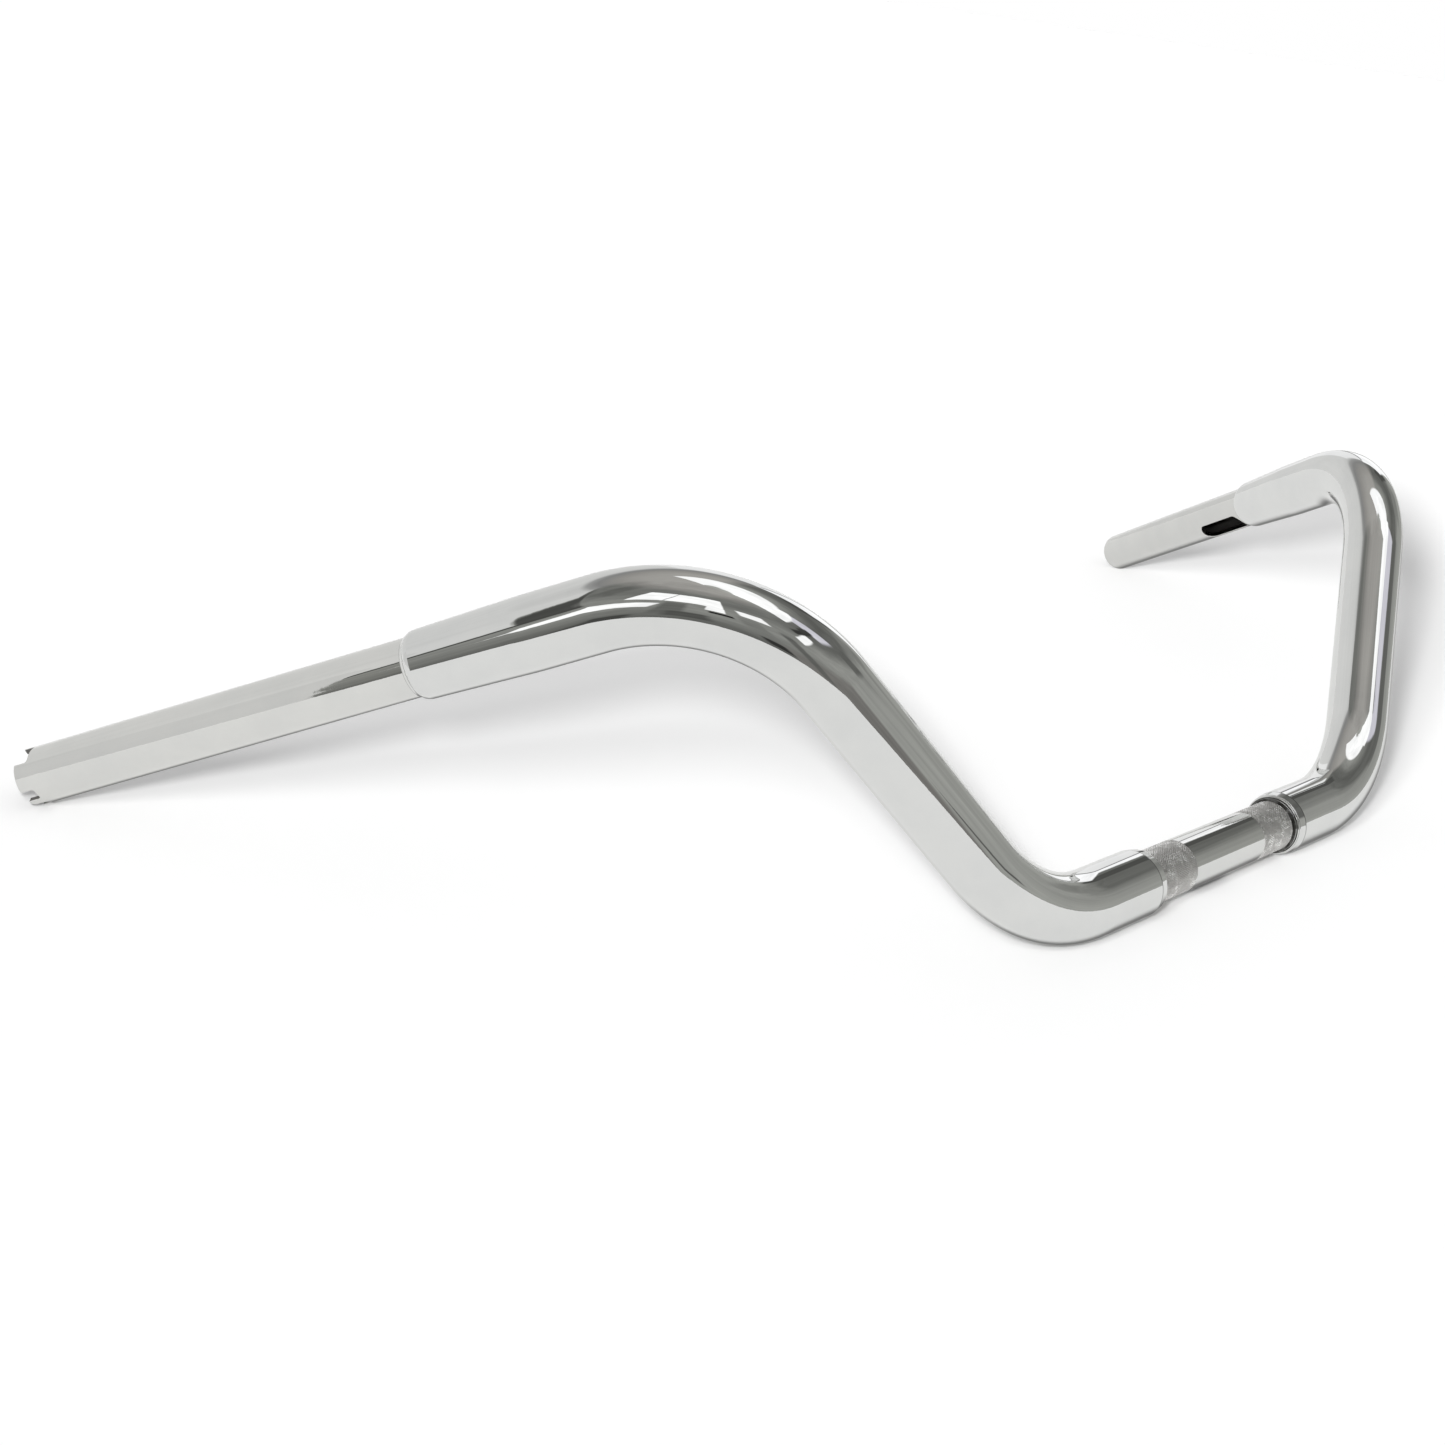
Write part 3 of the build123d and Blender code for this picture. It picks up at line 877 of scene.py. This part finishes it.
# Painted shade at both toes of the clamp weld and between its two passes
CLAMP_WELD = crease_shaded_chrome("chrome_weld_clamp",
                            [(FAT_START - WELD_CLAMP_LEG, 0.72),
                             (FAT_START - 0.505 * WELD_CLAMP_LEG, 0.22), (FAT_START, 0.34)],
                            depth=1.0, seed=5.9, **WELD_FINISH)
# Painted shade at both toes of the grip weld
GRIP_WELD = crease_shaded_chrome("chrome_weld_grip", [(0.0, 0.30), (WELD_GRIP_LEG, 0.18)],
                           depth=0.5, seed=4.3, **WELD_FINISH)
# Painted shade: the notch walls are dark chrome, standing in for the dark they reflect
CUT_EDGE = chrome("chrome_cut_edge", base=(0.16, 0.157, 0.15), rough=0.16, spread=0.12,
                  wave=0.2, seed=9.2)
BORE = bore_steel()

RISER = riser()
# CAD node, name ending, sheets, materials, slot, mirrored to -x
PIECES = (
    ("riser_tube_right", "plated", RISER, [RISER_PLATE, BORE], "chrome", False),
    ("riser_tube_left", "plated", RISER, [RISER_PLATE, BORE], "chrome", True),
    ("grip_tube_right", "plated", notched_grip(), [GRIP_PLATE, BORE, CUT_EDGE], "chrome", False),
    ("grip_tube_left", "plated", plain_grip(), [SHADED_LEFT_GRIP_PLATE, BORE], "chrome", True),
    ("clamp_section", "plated", clamp(), [CLAMP_PLATE, KNURL, BORE], "knurled_chrome", False),
    ("weld_clamp_right", "dressed", weld_clamp(seed=0.4), [CLAMP_WELD], "weld_chrome", False),
    ("weld_clamp_left", "dressed", weld_clamp(seed=2.9), [CLAMP_WELD], "weld_chrome", True),
    ("weld_grip_right", "dressed", weld_grip(seed=1.1), [GRIP_WELD], "weld_chrome", False),
    ("weld_grip_left", "dressed", weld_grip(seed=4.2), [GRIP_WELD], "weld_chrome", True),
)
for node_name, ending, piece_sheets, piece_materials, slot_name, is_mirrored in PIECES:
    piece = piece_sheets.build(f"{node_name}_{ending}", piece_materials, is_mirrored)
    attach(piece, "root")
    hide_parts(node_name)

# ---- Camera ----
CAMERA_AT = Vector((773.4497, 384.4012, 362.7603)) * MM
CAMERA_RIGHT = Vector((-0.7071932, 0.6957432, 0.1257743))
CAMERA_UP = Vector((-0.1785357, -0.3478593, 0.9203906))
CAMERA_BACK = Vector((0.6841073, 0.6284388, 0.3702187))
CAMERA_TURN = Matrix((CAMERA_RIGHT, CAMERA_UP, CAMERA_BACK)).transposed()


def add_camera():
    data = bpy.data.cameras.new("camera")
    camera = add_object("camera", data)
    camera.matrix_world = Matrix.Translation(CAMERA_AT) @ CAMERA_TURN.to_4x4()
    data.sensor_width = 36.0
    data.lens = 47.0278
    data.shift_x = 0.00119377
    data.shift_y = -0.000112111
    data.clip_start, data.clip_end = 0.02, 60.0
    bpy.context.scene.camera = camera
    return camera


def add_rig(camera):
    """Empty that copies the camera's heading only, square to the world at the set view, so
    that the studio turns with the camera."""
    turn = add_object("studio_turn", None)
    follow = turn.constraints.new("COPY_ROTATION")
    follow.target = camera
    follow.use_x = follow.use_y = False
    rig = add_object("studio_rig", None)
    rig.parent = turn
    rig.rotation_euler = (0, 0, -CAMERA_TURN.to_euler("XYZ").z)
    return rig


RIG = add_rig(add_camera())

# ---- Studio seen in the chrome, as a procedural world ----
# Angles are in degrees in the rig's frame: azimuth from +x toward +y, elevation from the
# horizon. Levels are display brightness, 0 to 255, as plate shows them square on.
PLATE_REFLECTANCE = 0.80
AZIMUTH_START = -110.0                  # azimuths run from here round to 250
WHITE, OLIVE, WARM = (1.0, 1.0, 1.0), (1.0, 1.012, 0.95), (1.03, 1.0, 0.945)
SWEEP_WHITE, LAVENDER, COOL = (1.0, 1.0, 0.985), (0.97, 0.955, 1.05), (0.99, 0.99, 1.0)

# Backdrops by elevation: (elevation, level, own tint if any)
LOW_AZIMUTH_ROOM = ((-30, 90), (-12, 96), (0, 116), (14, 134), (30, 128), (44, 108), (56, 112),
                    (64, 134, WARM), (71, 150, WARM), (90, 152, WARM))
HIGH_AZIMUTH_ROOM = ((-8, 150), (3, 150), (14, 146), (22, 138), (27, 120), (32, 100), (37, 98),
                     (42, 92), (48, 100), (55, 124), (62, 140), (70, 165), (90, 165))
WHITE_SWEEP = ((-40, 206), (-5, 206), (14, 203), (31, 200), (35, 192), (38, 150), (42, 128),
               (50, 140, WARM), (60, 154, WARM), (72, 158, WARM), (90, 155, WARM))

# Masks by azimuth: (azimuth, share)
HIGH_AZIMUTH_SHARE = ((0, 0.0), (78, 0.0), (104, 1.0), (250, 1.0))
SWEEP_SHARE = ((-110, 1.0), (-58, 1.0), (-44, 0.0), (204, 0.0), (212, 1.0), (250, 1.0))
WEDGE_SHARE = ((-110, 1.0), (0, 1.0), (6, 0.0), (250, 0.0))
WEDGE_RIM_SHARE = ((-48, 0.0), (-32, 1.0), (6, 1.0), (12, 0.0))

# Soft rectangles: azimuth from and to, elevation from and to, softness in azimuth and in
# elevation, slope (rise with azimuth), lean (sideways shift with elevation), level, tint
BROAD_PANELS = (
    (-28, -10, 38, 58, 8.0, 10.0, 0, 0, 96, OLIVE),
    (58, 101, -17, 4, 6.0, 8.0, 0.25, 0, 112, WARM),
)
PANELS = (
    # dim patches
    (128, 146, 20, 34, 5.0, 5.0, 0, 0, 94, OLIVE),
    (163, 181, 15, 30, 6.0, 5.0, 0, 0, 122, OLIVE),
    (186, 198, 22, 38, 2.5, 3.0, 0, 0, 74, OLIVE),
    # bright windows and lamps, the first with a thin bar across it
    (8.5, 48.5, 30, 49.5, 1.0, 0.9, 0.02, 0.10, 254, WHITE),
    (24.5, 25.3, 30, 49.5, 0.6, 1.0, 0, 0.10, 150, WHITE),
    (40.5, 47.5, 20.5, 30.5, 0.9, 1.2, 0, 0.1, 250, WHITE),
    (-4, 24, 10.5, 21.5, 1.2, 1.0, 0.04, 0.15, 254, WHITE),
    (54, 67, 27, 36.5, 1.8, 1.5, 0, 0, 248, WHITE),
    (81, 99, 28, 35, 1.8, 1.8, 0.66, 0, 250, WHITE),
    # overhead softbox with a lavender edge
    (113, 133, 37, 60, 3.5, 4.0, 0, 0, 206, LAVENDER),
    (97, 138, 53, 81, 1.6, 1.6, 0.20, 0, 255, WHITE),
    (132, 252, 63.5, 86, 3.0, 2.4, 0.045, 0, 252, WHITE),
    # upright bright strips with a dark line between
    (191, 209.5, 4, 29, 2.0, 2.0, 0.18, 0, 246, COOL),
    (209, 229, 1, 28, 2.0, 3.0, 0, 0, 226, WHITE),
    (208.4, 209.8, 3, 27, 0.8, 2.0, 0, 0, 112, WHITE),
    # dark gaps
    (88, 116, 39, 43.5, 4.0, 2.0, 0.24, 0, 54, OLIVE),
    (100, 112, 42, 46, 4.0, 2.0, 0.24, 0, 60, OLIVE),
    (41, 49, 13.5, 18.0, 1.5, 1.2, 0, 0, 36, OLIVE),
    (26, 34, -6, 27, 2.5, 6.0, 0, 0, 100, OLIVE),
    (51, 60, 2, 24, 3.0, 6.0, 0, 0, 118, OLIVE),
    (68, 74, -12, 22, 3.0, 6.0, 0, 0, 94, OLIVE),
    (14, 24, -24, -8, 3.0, 3.0, 0, 0, 66, OLIVE),
    (30, 40, -10, 4, 3.0, 3.0, 0, 0, 80, OLIVE),
    (52, 59, -12, -4, 2.5, 2.5, 0, 0, 50, OLIVE),
    (106, 122, 3.2, 5.2, 3.0, 1.4, 0, 0, 84, OLIVE),
)


def tone(level, tint):
    light = (((level / 255.0 + 0.055) / 1.055) ** 2.4) / PLATE_REFLECTANCE
    return tuple(light * c for c in tint)


class StudioSky(Shader):
    def __init__(self, world, rig):
        super().__init__(world, clear=True)
        self.coords = self.object_coords(object=rig)
        x, y, z = self.node("SeparateXYZ", {0: self.coords}).outputs
        self.heading = self.math("MULTIPLY", self.math("ARCTAN2", y, x), 180 / pi)
        self.elevation = self.math("MULTIPLY", self.math("ARCSINE", z), 180 / pi)
        # The azimuth's seam lies in the even white sweep
        before = self.math("LESS_THAN", self.heading, AZIMUTH_START)
        self.azimuth = self.math("ADD", self.heading, self.math("MULTIPLY", before, 360.0))
        self.azimuth_share = self.share(self.azimuth, -AZIMUTH_START, 360.0)

    def share(self, angle, offset, full):
        return self.math("DIVIDE", self.math("ADD", angle, offset), full)

    def by_elevation(self, rows, share, tint):
        return self.curve(share, [((elevation + 90) / 180, tone(level, *(own or [tint])))
                                  for elevation, level, *own in rows])

    def by_azimuth(self, rows):
        return self.curve(self.azimuth_share, [((azimuth - AZIMUTH_START) / 360, (value,) * 3)
                                               for azimuth, value in rows])

    def span(self, value, low, high, soft):
        """1 between low and high, falling to 0 over soft."""
        away = self.math("ABSOLUTE", self.math("SUBTRACT", value, (low + high) / 2))
        half = (high - low) / 2
        return self.ramp(away, start=half + soft / 2, end=half - soft / 2)

    def skewed(self, value, other, middle, skew):
        if not skew:
            return value
        return self.weighted(self.math("SUBTRACT", other, middle), weight=-skew, plus=value)

    def paint(self, colour, panels):
        for (az0, az1, el0, el1, soft_az, soft_el, slope, lean, level, tint) in panels:
            across = self.skewed(self.azimuth, self.elevation, (el0 + el1) / 2, lean)
            upward = self.skewed(self.elevation, self.azimuth, (az0 + az1) / 2, slope)
            mask = self.math("MULTIPLY", self.span(across, az0, az1, soft_az),
                             self.span(upward, el0, el1, soft_el))
            colour = self.mix(mask, off=colour, on=tone(level, tint))
        return colour

    def wedge_depth(self):
        """Distance inside the pale wedge that reaches out from the sweep."""
        gap = self.math("SUBTRACT", self.elevation, self.azimuth)
        low = self.math("MULTIPLY", self.math("SUBTRACT", gap, 36.0), 0.707)
        slant = self.weighted(self.azimuth, weight=0.7, plus=self.elevation)
        top = self.math("MULTIPLY", self.math("SUBTRACT", 13.5, slant), 0.82)
        return self.math("MINIMUM", low, top)

    def backdrop(self):
        """The room and the sweep; also returns the sweep's mask."""
        level_share = self.share(self.elevation, 90.0, 180.0)
        room = self.mix(self.by_azimuth(HIGH_AZIMUTH_SHARE),
                        off=self.by_elevation(LOW_AZIMUTH_ROOM, level_share, OLIVE),
                        on=self.by_elevation(HIGH_AZIMUTH_ROOM, level_share, OLIVE))
        # The sweep's top edge climbs 0.19 degrees per degree of azimuth
        climb = self.math("MULTIPLY", self.math("ADD", self.heading, 100.0), 0.19)
        sweep_share = self.share(self.math("SUBTRACT", self.elevation, climb), 90.0, 180.0)
        sweep = self.by_elevation(WHITE_SWEEP, sweep_share, SWEEP_WHITE)
        depth = self.wedge_depth()
        wedge = self.math("MULTIPLY", self.ramp(depth, start=-0.6, end=0.6),
                          self.by_azimuth(WEDGE_SHARE))
        from_rim = self.math("ABSOLUTE", self.math("ADD", depth, 2.2))
        rim = self.math("MULTIPLY", self.ramp(from_rim, start=2.2, end=0.8),
                        self.by_azimuth(WEDGE_RIM_SHARE))
        mask = self.math("MAXIMUM", self.by_azimuth(SWEEP_SHARE), wedge)
        colour = self.mix(mask, off=self.paint(room, BROAD_PANELS), on=sweep)
        return self.mix(rim, off=colour, on=tone(72, OLIVE)), mask

    def cluttered(self, colour, sweep_mask):
        """Slight unevenness, weaker on the sweep."""
        clutter = self.noise(self.coords, scale=5.0, stretch=(1, 1, 2.4))
        strength = self.weighted(sweep_mask, weight=-0.75, plus=1.0)
        uneven = self.math("MULTIPLY", self.math("SUBTRACT", clutter, 0.5), strength)
        factor = self.weighted(uneven, weight=0.6, plus=1.0)
        return self.out("VectorMath", {0: colour, "Scale": factor}, operation="SCALE")


def add_world(rig):
    world = bpy.data.worlds.new("studio")
    bpy.context.scene.world = world
    sky = StudioSky(world, rig)
    colour, sweep_mask = sky.backdrop()
    colour = sky.cluttered(sky.paint(colour, PANELS), sweep_mask)
    # Even grey light on matt surfaces, white where the camera sees the world itself
    rays = sky.node("LightPath").outputs
    colour = sky.mix(rays["Is Diffuse Ray"], off=colour, on=(0.50, 0.50, 0.50))
    colour = sky.mix(rays["Is Camera Ray"], off=colour, on=(1.0, 1.0, 1.0))
    sky.node("OutputWorld", {"Surface": sky.out("Background", {"Color": colour})})


add_world(RIG)

# ---- Floor, card and lamps, metres ----
FLOOR_Z = (-FAT_R - 0.02) * MM
FLOOR_HALF = 40.0

CARD_AT = Vector((0.957, -0.226, 0.0))
CARD_DIR = Vector((0.50, -0.866, 0.0)).normalized()
# Top edge of the card: (distance along it, height)
CARD_TOP = (
    (-0.075, -0.03), (-0.04, -0.005), (-0.015, 0.035), (0.0, 0.075), (0.02, 0.095),
    (0.05, 0.13), (0.09, 0.185), (0.14, 0.25), (0.18, 0.30), (0.22, 0.36), (0.3, 0.45),
    (0.5, 0.58), (1.6, 0.8),
)

# Soft lamps: name, distance left of the camera and above it, size, power
LAMPS = (("key", 0.05, 0.065, 0.036, 31.5), ("key_broad", 0.14, 0.18, 0.085, 16.0))


def floor_paper(rig):
    """White paper; reflections see it greyer, slightly glowing and cut off at an edge."""
    material = bpy.data.materials.new("floor_paper")
    shader = Shader(material, clear=True)
    coords = shader.object_coords(object=rig)
    x, y, _ = shader.node("SeparateXYZ", {0: coords}).outputs
    reflected = shader.out("LightPath", output="Is Glossy Ray")
    paper = shader.noise(coords, scale=3.0, detail=2.0, rough=0.5)
    colour = shader.mix(reflected, on=(0.62, 0.62, 0.612),
                        off=shader.mix(paper, off=(0.94, 0.94, 0.94), on=(0.96, 0.96, 0.96)))
    glow = shader.out("Emission", {"Color": (1.0, 1.0, 0.985),
                                   "Strength": shader.math("MULTIPLY", reflected, 0.19)})
    lit = shader.out("AddShader", {0: shader.out("BsdfDiffuse", {"Color": colour}), 1: glow})
    # Distance along the horizontal direction (0.788, 0.616), where the paper ends
    outward = shader.math("ADD", shader.math("MULTIPLY", x, 0.788),
                          shader.math("MULTIPLY", y, 0.616))
    past = shader.ramp(outward, start=0.60, end=0.62)
    cut = shader.math("MULTIPLY", past, reflected)
    clear = shader.out("BsdfTransparent")
    shader.node("OutputMaterial", {"Surface": shader.out("MixShader",
                                                         {0: cut, 1: lit, 2: clear})})
    return material


def add_floor(rig):
    mesh = bpy.data.meshes.new("floor")
    corners = [(x * FLOOR_HALF, y * FLOOR_HALF, FLOOR_Z)
               for x, y in ((-1, -1), (1, -1), (1, 1), (-1, 1))]
    mesh.from_pydata(corners, [], [(0, 1, 2, 3)])
    floor = add_object("floor", mesh)
    mesh.materials.append(floor_paper(rig))


def card_white():
    material = bpy.data.materials.new("card_white")
    shader = Shader(material, clear=True)
    paper = shader.noise(shader.object_coords(), scale=2.0, detail=2.0, rough=0.5, stretch=None)
    colour = shader.mix(paper, off=(0.66, 0.66, 0.65), on=(0.74, 0.74, 0.73))
    shader.node("OutputMaterial", {"Surface": shader.out("Emission", {"Color": colour})})
    return material


def add_card(rig):
    """Upright white card out toward +x, seen only in reflections."""
    points = []
    for along, top in CARD_TOP:
        place = CARD_AT + CARD_DIR * along
        points += [(place.x, place.y, FLOOR_Z - 0.1 - 0.4 * max(along, 0)),
                   (place.x, place.y, top)]
    faces = [(2 * k, 2 * k + 2, 2 * k + 3, 2 * k + 1) for k in range(len(CARD_TOP) - 1)]
    mesh = bpy.data.meshes.new("card")
    mesh.from_pydata(points, [], faces)
    card = add_object("card", mesh)
    card.parent = rig
    mesh.materials.append(card_white())
    for ray in ("camera", "diffuse", "shadow", "transmission", "volume_scatter"):
        setattr(card, "visible_" + ray, False)


def add_lamp(rig, name, left, above, size, power):
    data = bpy.data.lights.new(name, "POINT")
    data.shadow_soft_size = size
    data.energy = power
    shader = Shader(data)
    # Strength grows with distance, which evens the lamp out over the floor
    distance = shader.out("LightPath", output="Ray Length")
    shader.feed(shader.tree.nodes["Emission"],
                {"Strength": shader.math("POWER", distance, 3.0)})
    lamp = add_object(name, data)
    lamp.parent = rig
    lamp.location = CAMERA_AT - CAMERA_RIGHT * left + CAMERA_UP * above
    lamp.visible_glossy = False
    lamp.visible_camera = False


add_floor(RIG)
add_card(RIG)
for lamp_row in LAMPS:
    add_lamp(RIG, *lamp_row)

view = bpy.context.scene.view_settings
view.view_transform = "Standard"
view.look = "None"
view.exposure = 0.0
view.gamma = 1.0
